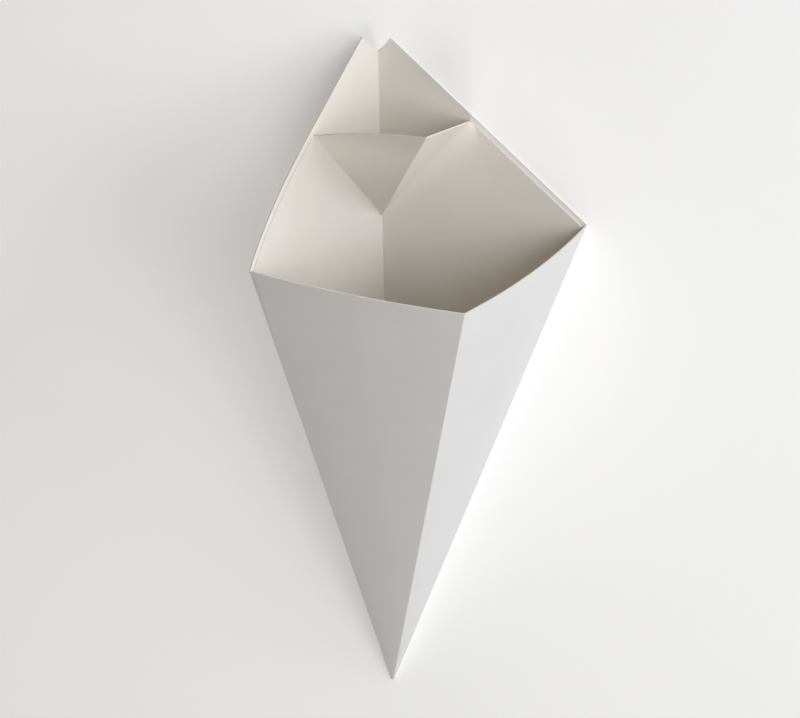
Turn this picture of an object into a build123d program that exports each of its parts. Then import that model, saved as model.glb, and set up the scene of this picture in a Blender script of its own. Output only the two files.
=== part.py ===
"""Cardboard food cone with a sauce pocket, folded and glued from one blank of paper board.

Millimetres.  The cone is worked out standing on its tip, with its front towards -Y.  At the end it
is laid on its flat right-hand back wall, which is how it comes to rest on a table.
"""
import os
from math import acos, sqrt, tan

from build123d import *

# Board
board = 0.45
crease_radius = 0.3
tip_blunt = 2.6

# Cross-section, measured at the height of the two side corners.  The left-hand back wall is flat
# from the back crease to a ruling part of the way across and curves from there to the left crease.
corner_height = 190.4
half_width = 61.2
half_depth = 41.5
left_flat_reach = 28.4
left_flat_depth = 25.5
front_left_bulge = 2.1
front_right_bulge = 2.8

# Top edges
front_corner_height = 188.4
notch_height = 239.3
notch_sag = 0.6
left_peak_rise = 7.2
left_peak_reach = 8.0
right_peak_rise = 5.2
right_peak_reach = 5.0

# Second layer of board over the two back walls.  Its straight top edge runs a step below that of
# the outer layer, and its middle is pushed forward as the front of the sauce pocket.
lining_step = 1.8
pocket_corner_share = 0.423
pocket_bottom_height = 181.7
pocket_left_bow = 1.2

# Unscored fold at the pocket's right-hand side: places along it as shares of its length, and the
# bend radius there as shares of the length of the pocket's middle crease
soft_fold_places = (0.12, 0.35, 0.62, 0.85, 0.985)
soft_fold_radii = (0.023, 0.11, 0.195, 0.165, 0.035)
fold_lap = 0.4
bend_inset_share = 0.1
strip_start_share = 0.004

# Taken off the right-hand back wall so that the face it rests on is an exact plane
resting_wall_truing = 0.02

# How far the shapes that trim the board reach past it
trim_margin = 9.0

up = Vector(0, 0, 1)
ABOVE = (Align.CENTER, Align.CENTER, Align.MIN)
BEHIND = (Align.CENTER, Align.MIN, Align.MIN)


def at(x, y, height):
    """Point of the ruling through (x, y) at the side corners' height."""
    share = height / corner_height
    return Vector(x * share, y * share, height)


def back_crease(height):
    return at(0, half_depth, height)


def ring(height, inset, rounding):
    """Closed outline of the cone at one height, moved in by some layers, its creases rounded or not."""
    back = back_crease(height)
    left = at(-half_width, 0, height)
    right = at(half_width, 0, height)
    front = at(0, -half_depth, height)
    flat_end = at(-left_flat_reach, left_flat_depth, height)

    def bulged(start, end, bulge):
        chord = end - start
        outward = Vector(chord.Y, -chord.X, 0).normalized()
        middle = (start + end) / 2 + outward * (bulge * height / corner_height)
        return Edge.make_three_point_arc(start, middle, end)

    outline = Wire([
        Edge.make_line(back, flat_end),
        Edge.make_tangent_arc(flat_end, flat_end - back, left),
        bulged(left, front, front_left_bulge),
        bulged(front, right, front_right_bulge),
        Edge.make_line(right, back),
    ])
    outline = outline.offset_2d(-inset - rounding, kind=Kind.INTERSECTION)
    if rounding:
        outline = outline.offset_2d(rounding, kind=Kind.ARC)
    return outline


# A layer's thickness as it shows in a level section of the sloping walls
wall_slope = half_width * half_depth / sqrt(half_width**2 + half_depth**2) / corner_height
level_board = board * sqrt(1 + wall_slope**2)
core_height = notch_height + max(left_peak_rise, right_peak_rise) + trim_margin


def core(layers, rounding=0.0):
    """Solid cone that is left inside a number of layers of board."""
    inset = layers * level_board
    start = tip_blunt + inset / wall_slope
    ends = [ring(height, inset, rounding) for height in (start, core_height)]
    return Solid.make_loft(ends, ruled=True)


# Corner points and wall directions
left_corner = at(-half_width, 0, corner_height)
right_corner = at(half_width, 0, corner_height)
front_corner = at(0, -half_depth, front_corner_height)
notch = back_crease(notch_height)
crease = notch.normalized()
left_normal = at(-left_flat_reach, left_flat_depth, corner_height).cross(crease).normalized()
right_normal = crease.cross(right_corner).normalized()
left_along = (at(-left_flat_reach, left_flat_depth, 1) - back_crease(1)).normalized()
right_along = (at(half_width, 0, 1) - back_crease(1)).normalized()
left_peak = back_crease(notch_height + left_peak_rise) + left_along * left_peak_reach
right_peak = back_crease(notch_height + right_peak_rise) + right_along * right_peak_reach

# The left corner as seen square to the flat part of its wall
left_corner_flat = left_corner - left_normal * left_corner.dot(left_normal)
trim_inward = (left_corner_flat - left_corner).length * core_height / corner_height + trim_margin


def trim(outline, normal):
    """Shape that takes away the board beyond an outline drawn on a wall."""
    face = Face(Wire(outline)).moved(Location(normal * trim_margin))
    return Solid.extrude(face, normal * -(trim_margin + trim_inward))


def wall_trim(corner, peak, normal):
    """What is cut off one back wall: above its straight top edge, and half of the notch."""
    start = corner + (corner - peak).normalized() * half_width
    middle = (peak + notch) / 2 - crease * notch_sag
    return trim([
        Edge.make_line(start, peak),
        Edge.make_three_point_arc(peak, middle, notch),
        Edge.make_line(notch, notch + crease * core_height),
        Edge.make_line(notch + crease * core_height, start + crease * core_height),
        Edge.make_line(start + crease * core_height, start),
    ], normal)


def polygon(*points):
    return [Edge.make_line(a, b) for a, b in zip(points, points[1:] + points[:1])]


# Front: one straight cut through the left, front and right corners
front_slope = (corner_height - front_corner_height) / -front_corner.Y
front_trim = Solid.extrude(
    Face(Wire(polygon(
        Vector(-core_height, 0, corner_height),
        Vector(-core_height, -core_height, corner_height - front_slope * core_height),
        Vector(-core_height, -core_height, core_height + trim_margin),
        Vector(-core_height, 0, core_height + trim_margin),
    ))),
    Vector(2 * core_height, 0, 0),
)

resting_wall = Plane(origin=right_normal * -resting_wall_truing, x_dir=crease, z_dir=right_normal * -1)
true_side = resting_wall * Box(4 * core_height, 4 * core_height, 2 * core_height, align=ABOVE)
outer_layer = (core(0, crease_radius) & true_side) - core(1)
outer_layer -= front_trim
outer_layer -= wall_trim(left_corner_flat, left_peak, left_normal)
outer_layer -= wall_trim(right_corner, right_peak, right_normal)


def lowered(corner, peak, normal):
    """Corner point, direction and crease end of the lining's top edge on one wall."""
    along = (peak - corner).normalized()
    down = along.cross(normal).normalized()
    if down.Z > 0:
        down = down * -1
    start = corner + down * lining_step
    # where the edge would meet the back crease
    side = crease.cross(normal).normalized()
    reach = -start.dot(side) / along.dot(side)
    share = start + (peak - corner) * (1 - pocket_corner_share)
    return start, along, start + along * reach, share


left_start, left_edge, _, left_pocket = lowered(left_corner_flat, left_peak, left_normal)
right_start, right_edge, right_meet, right_pocket = lowered(right_corner, right_peak, right_normal)

# The pocket's points on the face of the lining
lining_depth = 2 * board
to_inner_corner = (left_normal + right_normal) * (-lining_depth / (1 + left_normal.dot(right_normal)))
pocket_bottom = back_crease(pocket_bottom_height) + to_inner_corner
pocket_left = left_pocket - left_normal * lining_depth
pocket_right = right_pocket - right_normal * lining_depth
crease_top = right_meet + to_inner_corner
mirror = (pocket_left - pocket_bottom).cross(pocket_right - pocket_bottom).normalized()
pocket_front = crease_top - mirror * (2 * (crease_top - pocket_bottom).dot(mirror))


def lining_trim(start, edge, corner, normal):
    """What is cut off the lining of one wall: above its top edge and above the pocket's fold."""
    beyond = start - edge * half_width
    foot = pocket_bottom - normal * pocket_bottom.dot(normal)
    fold_up = (foot - corner).cross(normal).normalized() * board
    if fold_up.dot(crease) < 0:
        fold_up = fold_up * -1
    centre = back_crease(pocket_bottom_height)
    return trim(polygon(
        beyond,
        corner,
        corner + fold_up,
        foot + fold_up,
        centre + fold_up,
        centre + crease * core_height,
        beyond + crease * core_height,
    ), normal)


back_half = Box(2 * core_height, core_height, 2 * core_height, align=BEHIND)
lining = (core(1) - core(2)) & back_half
lining -= lining_trim(left_start, left_edge, left_pocket, left_normal)
lining -= lining_trim(right_start, right_edge, right_pocket, right_normal)


def facing_back(normal):
    return normal if normal.Y > 0 else normal * -1


# Left half of the pocket's front: bowed back a little, on a sharp fold
left_back = facing_back((pocket_left - pocket_bottom).cross(pocket_front - pocket_bottom).normalized())


def left_strip(share):
    outer_end = pocket_bottom + (pocket_left - pocket_bottom) * share
    crease_end = pocket_bottom + (pocket_front - pocket_bottom) * share
    middle = (outer_end + crease_end) / 2 + left_back * (pocket_left_bow * share)
    lift = left_back * board
    return Wire([
        Edge.make_three_point_arc(outer_end, middle, crease_end),
        Edge.make_line(crease_end, crease_end + lift),
        Edge.make_three_point_arc(crease_end + lift, middle + lift, outer_end + lift),
        Edge.make_line(outer_end + lift, outer_end),
    ])


pocket_left_half = Solid.make_loft([left_strip(strip_start_share), left_strip(1)], ruled=True)

# Right half: flat from the middle crease to the soft fold
fold_length = (pocket_right - pocket_bottom).length
fold = (pocket_right - pocket_bottom).normalized()
flap_back = facing_back((pocket_front - pocket_bottom).cross(pocket_right - pocket_bottom).normalized())
flap_along = fold.cross(flap_back).normalized()
if flap_along.dot(pocket_front - pocket_bottom) < 0:
    flap_along = flap_along * -1
wall_along = fold.cross(right_normal).normalized()
if wall_along.dot(crease) < 0:
    wall_along = wall_along * -1
fold_angle = acos(flap_along.dot(wall_along))
right_flap = Solid.extrude(
    Face(Wire(polygon(pocket_bottom, pocket_front, pocket_right))),
    flap_back * board,
)


def fold_points(share, radius):
    """Ends, middle and centre of the bend's front face in a section square to the fold."""
    origin = pocket_bottom + fold * (fold_length * share)
    reach = radius * tan(fold_angle / 2)
    wall_end = origin - wall_along * reach
    flap_end = origin + flap_along * reach
    centre = wall_end - right_normal * radius
    return wall_end, flap_end, centre, (origin - centre).normalized()


def fold_strip(share, radius):
    """Bent board, lapped a little into the flat board on both sides."""
    wall_end, flap_end, centre, middle = fold_points(share, radius)
    rear = board * (1 - bend_inset_share)
    wall_lap = wall_end - wall_along * fold_lap
    flap_lap = flap_end + flap_along * fold_lap
    return Wire([
        Edge.make_line(wall_lap, wall_end),
        Edge.make_three_point_arc(wall_end, centre + middle * radius, flap_end),
        Edge.make_line(flap_end, flap_lap),
        Edge.make_line(flap_lap, flap_lap + flap_back * rear),
        Edge.make_line(flap_lap + flap_back * rear, flap_end + flap_back * rear),
        Edge.make_three_point_arc(
            flap_end + flap_back * rear,
            centre + middle * (radius + rear),
            wall_end + right_normal * rear,
        ),
        Edge.make_line(wall_end + right_normal * rear, wall_lap + right_normal * rear),
        Edge.make_line(wall_lap + right_normal * rear, wall_lap),
    ])


def fold_room(share, radius):
    """The sharp corner that the bent board replaces."""
    wall_end, flap_end, centre, middle = fold_points(share, radius)
    wall_end = wall_end - wall_along * (fold_lap / 2)
    flap_end = flap_end + flap_along * (fold_lap / 2)
    reach = radius + 3 * board
    front = centre + middle * (radius - board)
    return Wire(polygon(
        wall_end - right_normal * board,
        front,
        flap_end - flap_back * board,
        flap_end + flap_back * reach,
        wall_end + right_normal * reach,
    ))


middle_length = (pocket_front - pocket_bottom).length
stations = [(place, radius * middle_length) for place, radius in zip(soft_fold_places, soft_fold_radii)]
bend = Solid.make_loft([fold_strip(share, radius) for share, radius in stations], ruled=False)
room = Solid.make_loft([fold_room(share, radius) for share, radius in stations], ruled=False)
inner = lining + pocket_left_half + right_flap
inner = inner - room + bend
cone = outer_layer + inner

# Laid on the flat right-hand back wall
down_wall = (up - right_normal * up.dot(right_normal)).normalized()
rest = Plane(origin=(0, 0, 0), x_dir=down_wall.cross(right_normal * -1), z_dir=right_normal * -1)
cone = rest.to_local_coords(cone)
box = cone.bounding_box()
cone = Pos(-(box.min.X + box.max.X) / 2, -(box.min.Y + box.max.Y) / 2, -box.min.Z) * cone

os.makedirs("parts", exist_ok=True)
export_step(cone, "parts/folded_cone.step")
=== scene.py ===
"""Cardboard food cone lying on its flat right-hand back wall, seen from above on a pale studio floor."""
import math

import bmesh
import bpy
from mathutils import Euler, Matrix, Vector


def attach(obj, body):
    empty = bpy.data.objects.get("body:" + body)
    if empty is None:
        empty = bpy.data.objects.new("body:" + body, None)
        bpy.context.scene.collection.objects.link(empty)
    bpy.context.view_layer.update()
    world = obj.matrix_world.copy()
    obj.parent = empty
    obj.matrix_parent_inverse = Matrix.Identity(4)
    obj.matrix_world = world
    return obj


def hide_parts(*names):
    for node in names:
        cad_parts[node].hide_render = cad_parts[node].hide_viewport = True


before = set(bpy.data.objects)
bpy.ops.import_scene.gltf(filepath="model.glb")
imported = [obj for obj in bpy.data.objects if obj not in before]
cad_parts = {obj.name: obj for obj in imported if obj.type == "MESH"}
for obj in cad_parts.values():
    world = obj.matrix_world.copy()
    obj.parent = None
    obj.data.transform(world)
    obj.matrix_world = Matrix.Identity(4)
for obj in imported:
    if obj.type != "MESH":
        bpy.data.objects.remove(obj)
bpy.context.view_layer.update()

MM = 0.001
WHITE = (1.0, 1.0, 1.0)

# The cone's tip and the direction of its axis, in metres, as it lies
TIP = (0.0, -0.12586, 0.0)
AXIS = (0.0, 0.98412, 0.17753)

# Board: tints of the mottle from dark to light, and the grain, whose depth is in metres
INSIDE_TINTS = ((0.765, 0.725, 0.665), (0.79, 0.755, 0.70))
OUTSIDE_TINTS = ((0.765, 0.75, 0.735), (0.79, 0.778, 0.765))
OUTSIDE_FACING = (0.3, 0.42)
MOTTLE_SCALE = 45.0
MOTTLE_DETAIL = 4.0
MOTTLE_RANGE = (0.3, 0.7)
FIBRE_SCALE = 1400.0
FIBRE_DETAIL = 3.0
FIBRE_STRENGTH = 0.12
FIBRE_DEPTH = 0.0002
BOARD_ROUGHNESS = 0.72

# Floor, its size in metres
FLOOR_SIZE = 30.0
FLOOR_TINTS = ((0.89, 0.89, 0.89), (0.91, 0.91, 0.91))
FLOOR_CLOUD_SCALE = 3.0
FLOOR_ROUGHNESS = 0.9
FLOOR_GLOW = 0.22

# The pocket's front, in millimetres as the cone lies: its corners on the lining's face, and the way the
# lining's top edges run from its two upper corners toward the cone's side corners
POCKET_BOTTOM = Vector((-21.6491, 58.8353, 0.88))
POCKET_LEFT = Vector((-41.5496, 93.2456, 30.7521))
POCKET_RIGHT = Vector((6.0317, 97.8747, 0.88))
POCKET_FRONT = Vector((-0.2287, 103.429, 44.3142))
RIGHT_EDGE = Vector((0.808638, -0.588306, 0.0))
LEFT_EDGE = Vector((-0.240548, -0.742302, 0.6254))

# Its board, its bends and how it laps onto the walls, in millimetres
BOARD = 0.45
PROUD = 0.015
BEND_WIDEST = 14.5
BEND_AT_RIM = 1.2
LEFT_BOW = 1.2
RIDGE = 0.4
LEFT_LAP = 0.8
LEAST_LAP = 0.2
# the ridge's rounding and the left lap grow with the height, this many times as fast as the pocket
RIDGE_GROWTH = 8
LEFT_LAP_GROWTH = 6
# how far the front laps onto the right-hand wall, at shares of the height of the pocket
LAP_END = ((0, 1.2), (0.12, 3.2), (0.35, 8.6), (0.5, 11.6), (0.62, 13.2), (0.75, 13.4), (0.85, 12.2),
           (0.93, 8.5), (0.985, 4.5), (1.0, 3.6))

# Its rows, from the bottom to the rim, and the steps along a row
FIRST_ROW = 0.004
LAST_ROW = 0.9995
ROWS = 70
LAP_STEPS = 3
BEND_STEPS = 16
FLAP_STEPS = 4
RIDGE_STEPS = 6
LEFT_STEPS = 12

# Which of the solid's own faces make way for it, in millimetres: how far they rise from each back wall,
# and how far they lie from the pocket's edges
RAISED_FROM_RIGHT_WALL = 0.01
RAISED_FROM_LEFT_WALL = 0.03
LEFT_MARGIN = 0.3
BOTTOM_MARGIN = 0.3
RIGHT_REACH = 42

# Points of the solid's mesh closer than this are one, in metres
SAME_PLACE = 1e-6

# Creases sharper than these angles stay sharp, in degrees
WALL_CREASE = 14
POCKET_CREASE = 28

# Light: name, azimuth counted from +X toward +Y and elevation in degrees, power in watts and colour
COOL = (0.97, 1.0, 1.06)
SOFTBOXES = (
    ("right", 0, 35, 4.6, COOL),
    ("right_low", 30, 12, 6.5, COOL),
    ("right_high", 30, 60, 5.0, WHITE),
    ("mouth_low", 90, 12, 3.9, (1.06, 1.0, 0.86)),
    ("tip_high", -90, 62, 4.5, (1.05, 1.0, 0.92)),
)
SOFTBOX_WIDTH = 0.75
SOFTBOX_DISTANCE = 1.4
SOFTBOX_TARGET = Vector((0, 0.02, 0.03))
SURROUND_STRENGTH = 0.02

# Camera: lens and sensor in millimetres, the rest in metres and radians
LENS = 119.316
SENSOR_WIDTH = 36.0
CLIP = (0.05, 20.0)
CAMERA_PLACE = (0.161021, 0.369186, 0.862547)
CAMERA_TURN = Euler((-0.370931, 0.234748, 0.099085), "XYZ")


def square_to(first, second):
    """Unit vector square to both."""
    return first.cross(second).normalized()


# Ways along the rim of the pocket's front, and how far the board turns at the unscored fold
UP_FLAP = (POCKET_FRONT - POCKET_RIGHT).normalized()
TO_LEFT = (POCKET_LEFT - POCKET_FRONT).normalized()
BEND_TURN = math.pi - RIGHT_EDGE.angle(UP_FLAP)

# Outer sides of the two back walls, rear sides of the pocket's two halves, and the way across the
# left-hand wall from the pocket's left fold to the back crease
RIGHT_WALL_OUT = Vector((0.0, 0.0, -1.0))
LEFT_WALL_OUT = square_to(LEFT_EDGE, POCKET_LEFT - POCKET_BOTTOM)
LEFT_REAR = square_to(POCKET_LEFT - POCKET_BOTTOM, POCKET_FRONT - POCKET_BOTTOM)
RIGHT_REAR = square_to(POCKET_FRONT - POCKET_BOTTOM, POCKET_RIGHT - POCKET_BOTTOM)
LEFT_FOLD_SIDE = square_to(LEFT_WALL_OUT, POCKET_LEFT - POCKET_BOTTOM)


# Materials

def principled(name):
    """New material with a principled shader joined to its output."""
    material = bpy.data.materials.new(name)
    material.use_nodes = True
    nodes, links = material.node_tree.nodes, material.node_tree.links
    nodes.clear()
    out = nodes.new("ShaderNodeOutputMaterial")
    shader = nodes.new("ShaderNodeBsdfPrincipled")
    links.new(shader.outputs["BSDF"], out.inputs["Surface"])
    return material, nodes, links, shader


def noise(nodes, links, place, scale, detail=None):
    node = nodes.new("ShaderNodeTexNoise")
    node.inputs["Scale"].default_value = scale
    if detail is not None:
        node.inputs["Detail"].default_value = detail
    links.new(place.outputs["Object"], node.inputs["Vector"])
    return node


def tint_ramp(nodes, links, pattern, tints, positions=(0.0, 1.0)):
    ramp = nodes.new("ShaderNodeValToRGB")
    for element, tint, position in zip(ramp.color_ramp.elements, tints, positions):
        element.position = position
        element.color = (*tint, 1)
    links.new(pattern.outputs["Fac"], ramp.inputs["Fac"])
    return ramp


def outside_share(nodes, links, place):
    """1 where the surface faces away from the cone's axis, 0 where it faces toward it."""

    def vector_math(operation, first, second=None):
        node = nodes.new("ShaderNodeVectorMath")
        node.operation = operation
        for socket, value in zip(node.inputs, (first, second)):
            if value is None:
                continue
            if isinstance(value, tuple):
                socket.default_value = value
            else:
                links.new(value, socket)
        return node

    geometry = nodes.new("ShaderNodeNewGeometry")
    from_tip = vector_math("SUBTRACT", place.outputs["Object"], TIP)
    along = vector_math("PROJECT", from_tip.outputs["Vector"], AXIS)
    radial = vector_math("SUBTRACT", from_tip.outputs["Vector"], along.outputs["Vector"])
    outward = vector_math("NORMALIZE", radial.outputs["Vector"])
    facing = vector_math("DOT_PRODUCT", outward.outputs["Vector"], geometry.outputs["True Normal"])
    share = nodes.new("ShaderNodeMapRange")
    share.inputs["From Min"].default_value = OUTSIDE_FACING[0]
    share.inputs["From Max"].default_value = OUTSIDE_FACING[1]
    links.new(facing.outputs["Value"], share.inputs["Value"])
    return share


def board_material():
    """Uncoated board: white outside, a little creamier inside, with a fibre grain and a faint mottle."""
    material, nodes, links, shader = principled("white_board")
    place = nodes.new("ShaderNodeTexCoord")
    side = outside_share(nodes, links, place)

    mottle = noise(nodes, links, place, MOTTLE_SCALE, MOTTLE_DETAIL)
    inside = tint_ramp(nodes, links, mottle, INSIDE_TINTS, MOTTLE_RANGE)
    outside = tint_ramp(nodes, links, mottle, OUTSIDE_TINTS, MOTTLE_RANGE)
    mix = nodes.new("ShaderNodeMix")
    mix.data_type = "RGBA"
    # the colour sockets of this node: 6 and 7 in, 2 out
    links.new(side.outputs["Result"], mix.inputs["Factor"])
    links.new(inside.outputs["Color"], mix.inputs[6])
    links.new(outside.outputs["Color"], mix.inputs[7])
    links.new(mix.outputs[2], shader.inputs["Base Color"])

    fibre = noise(nodes, links, place, FIBRE_SCALE, FIBRE_DETAIL)
    bump = nodes.new("ShaderNodeBump")
    bump.inputs["Strength"].default_value = FIBRE_STRENGTH
    bump.inputs["Distance"].default_value = FIBRE_DEPTH
    links.new(fibre.outputs["Fac"], bump.inputs["Height"])
    links.new(bump.outputs["Normal"], shader.inputs["Normal"])
    shader.inputs["Roughness"].default_value = BOARD_ROUGHNESS
    return material


def floor_material():
    material, nodes, links, shader = principled("studio_floor")
    place = nodes.new("ShaderNodeTexCoord")
    cloud = noise(nodes, links, place, FLOOR_CLOUD_SCALE)
    tint = tint_ramp(nodes, links, cloud, FLOOR_TINTS)
    links.new(tint.outputs["Color"], shader.inputs["Base Color"])
    shader.inputs["Roughness"].default_value = FLOOR_ROUGHNESS
    shader.inputs["Emission Color"].default_value = (*WHITE, 1)
    shader.inputs["Emission Strength"].default_value = FLOOR_GLOW
    return material


# The pocket's front

def between(table, at):
    """Value at a place, on straight lines between the points of a table."""
    for (x0, y0), (x1, y1) in zip(table, table[1:]):
        if at <= x1:
            return y0 + (y1 - y0) * (at - x0) / (x1 - x0)
    return table[-1][1]


def bend_radius(share):
    """Radius of the unscored fold: wide half-way up, tight at the rim."""
    return BEND_WIDEST * share * math.sqrt(max(0.0, 1 - share**4)) + BEND_AT_RIM * share


def bend_tangent(share):
    """How far the unscored fold's rounding reaches from its line, on both sides."""
    return bend_radius(share) * math.tan(BEND_TURN / 2)


def mitre(first, second):
    """Direction to the rear point where two pieces of board meet."""
    return (first + second) / (1 + first.dot(second))


def lap(share, fold):
    """Points on the right-hand wall, up to the start of the bend."""
    tangent = bend_tangent(share)
    end = max(between(LAP_END, share), tangent + LEAST_LAP)
    return [(fold + RIGHT_EDGE * (end + (tangent - end) * k / LAP_STEPS), RIGHT_WALL_OUT)
            for k in range(LAP_STEPS)]


def bend(share, fold):
    """Points round the unscored fold."""
    radius = bend_radius(share)
    centre = fold + (RIGHT_EDGE + UP_FLAP).normalized() * (radius / math.cos(BEND_TURN / 2))
    points = []
    for k in range(BEND_STEPS + 1):
        outward = (RIGHT_WALL_OUT * math.sin(BEND_TURN * (1 - k / BEND_STEPS))
                   + RIGHT_REAR * math.sin(BEND_TURN * k / BEND_STEPS)) / math.sin(BEND_TURN)
        points.append((centre + outward * radius, outward))
    return points


def right_half(share, fold, near_ridge):
    """Points on the flat right half, between the bend and the ridge."""
    bend_end = fold + UP_FLAP * bend_tangent(share)
    return [(bend_end.lerp(near_ridge, k / FLAP_STEPS), RIGHT_REAR) for k in range(1, FLAP_STEPS)]


def rounded_ridge(near_ridge, ridge, beyond_ridge):
    """Points over the ridge between the two halves."""
    points = []
    for k in range(RIDGE_STEPS + 1):
        t = k / RIDGE_STEPS
        rear = RIGHT_REAR.lerp(LEFT_REAR, t)
        point = near_ridge * (1 - t)**2 + ridge * 2 * t * (1 - t) + beyond_ridge * t**2
        points.append((point, rear * (1 / rear.length)))
    return points


def left_half(share, beyond_ridge):
    """Points on the bowed left half and its lap on the left-hand wall."""
    left = POCKET_BOTTOM.lerp(POCKET_LEFT, share)
    points = []
    for k in range(1, LEFT_STEPS + 1):
        t = k / LEFT_STEPS
        point = beyond_ridge.lerp(left, t) + LEFT_REAR * (LEFT_BOW * share * 4 * t * (1 - t))
        points.append((point, LEFT_REAR if k < LEFT_STEPS else mitre(LEFT_REAR, LEFT_WALL_OUT)))
    points.append((left + LEFT_EDGE * LEFT_LAP * min(1.0, share * LEFT_LAP_GROWTH), LEFT_WALL_OUT))
    return points


def pocket_row(share):
    """Front points with the directions to their rear points, from the right-hand wall to the left one."""
    fold = POCKET_BOTTOM.lerp(POCKET_RIGHT, share)
    ridge = POCKET_BOTTOM.lerp(POCKET_FRONT, share)
    rounding = RIDGE * min(1.0, share * RIDGE_GROWTH)
    near_ridge = ridge - UP_FLAP * rounding
    beyond_ridge = ridge + TO_LEFT * rounding
    return (lap(share, fold) + bend(share, fold) + right_half(share, fold, near_ridge)
            + rounded_ridge(near_ridge, ridge, beyond_ridge) + left_half(share, beyond_ridge))


def add_pocket(mesh):
    """Adds the pocket's front as a closed thin board, its front a hair proud of the walls."""
    faces, rears = [], []
    for row in range(ROWS + 1):
        points = pocket_row(FIRST_ROW + (LAST_ROW - FIRST_ROW) * row / ROWS)
        faces.append([mesh.verts.new((point - rear * PROUD) * MM) for point, rear in points])
        rears.append([mesh.verts.new((point + rear * BOARD) * MM) for point, rear in points])
    last = len(faces[0]) - 1
    for row in range(ROWS):
        for k in range(last):
            mesh.faces.new((faces[row][k], faces[row + 1][k], faces[row + 1][k + 1], faces[row][k + 1]))
            mesh.faces.new((rears[row][k], rears[row][k + 1], rears[row + 1][k + 1], rears[row + 1][k]))
        for k in (0, last):
            mesh.faces.new((faces[row][k], rears[row][k], rears[row + 1][k], faces[row + 1][k]))
    for row in (0, ROWS):
        for k in range(last):
            mesh.faces.new((faces[row][k], faces[row][k + 1], rears[row][k + 1], rears[row][k]))


def in_pocket_front(face):
    """Is a face of the solid, in metres, on the pocket's front and clear of both back walls?"""
    middle = face.calc_center_median() / MM - POCKET_BOTTOM
    above_right = max(-(vert.co / MM - POCKET_BOTTOM).dot(RIGHT_WALL_OUT) for vert in face.verts)
    above_left = -middle.dot(LEFT_WALL_OUT)
    past_fold = middle.dot(LEFT_FOLD_SIDE)
    raised = above_right > RAISED_FROM_RIGHT_WALL and above_left > RAISED_FROM_LEFT_WALL
    near = past_fold > -LEFT_MARGIN and middle.y > -BOTTOM_MARGIN and middle.x < RIGHT_REACH
    return raised and near


# One board: the solid's walls as they are, with the pocket's front drawn finer

def walls_mesh(cone):
    """The solid's own mesh without the pocket's front."""
    mesh = bmesh.new()
    mesh.from_mesh(cone.data)
    mesh.transform(cone.matrix_world)
    bmesh.ops.remove_doubles(mesh, verts=mesh.verts, dist=SAME_PLACE)
    coarse = [face for face in mesh.faces if in_pocket_front(face)]
    bmesh.ops.delete(mesh, geom=coarse, context="FACES")
    return mesh


def front_mesh():
    mesh = bmesh.new()
    add_pocket(mesh)
    bmesh.ops.recalc_face_normals(mesh, faces=mesh.faces)
    return mesh


def add_piece(name, mesh, crease, material):
    """Makes a mesh into a smooth-shaded piece that stands for the cone's solid."""
    data = bpy.data.meshes.new(name)
    mesh.to_mesh(data)
    mesh.free()
    for polygon in data.polygons:
        polygon.use_smooth = True
    data.set_sharp_from_angle(angle=math.radians(crease))
    data.materials.clear()
    data.materials.append(material)
    piece = bpy.data.objects.new(name, data)
    bpy.context.scene.collection.objects.link(piece)
    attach(piece, "root")
    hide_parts("folded_cone")


board = board_material()
add_piece("cone_walls", walls_mesh(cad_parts["folded_cone"]), WALL_CREASE, board)
add_piece("pocket_front", front_mesh(), POCKET_CREASE, board)


# Floor
bpy.ops.mesh.primitive_plane_add(size=FLOOR_SIZE, location=(0, 0, 0))
floor = bpy.context.object
floor.name = "floor"
floor.data.materials.append(floor_material())


# Light: round softboxes, the strongest low on the right, and a faint surround

def softbox(name, azimuth, elevation, power, colour):
    turn, rise = math.radians(azimuth), math.radians(elevation)
    toward = Vector((math.cos(turn) * math.cos(rise), math.sin(turn) * math.cos(rise), math.sin(rise)))
    data = bpy.data.lights.new(name, "AREA")
    data.shape = "DISK"
    data.size = SOFTBOX_WIDTH
    data.energy = power
    data.color = colour
    lamp = bpy.data.objects.new(name, data)
    bpy.context.scene.collection.objects.link(lamp)
    lamp.location = SOFTBOX_TARGET + toward * SOFTBOX_DISTANCE
    lamp.rotation_euler = toward.to_track_quat("Z", "Y").to_euler()


for settings in SOFTBOXES:
    softbox(*settings)

world = bpy.data.worlds.new("surround")
bpy.context.scene.world = world
world.use_nodes = True
background = world.node_tree.nodes["Background"]
background.inputs["Color"].default_value = (*WHITE, 1)
background.inputs["Strength"].default_value = SURROUND_STRENGTH
bpy.context.scene.view_settings.view_transform = "Standard"


# Camera
camera_data = bpy.data.cameras.new("camera")
camera_data.lens = LENS
camera_data.sensor_width = SENSOR_WIDTH
camera_data.clip_start, camera_data.clip_end = CLIP
camera = bpy.data.objects.new("camera", camera_data)
bpy.context.scene.collection.objects.link(camera)
camera.location = CAMERA_PLACE
camera.rotation_euler = CAMERA_TURN
bpy.context.scene.camera = camera
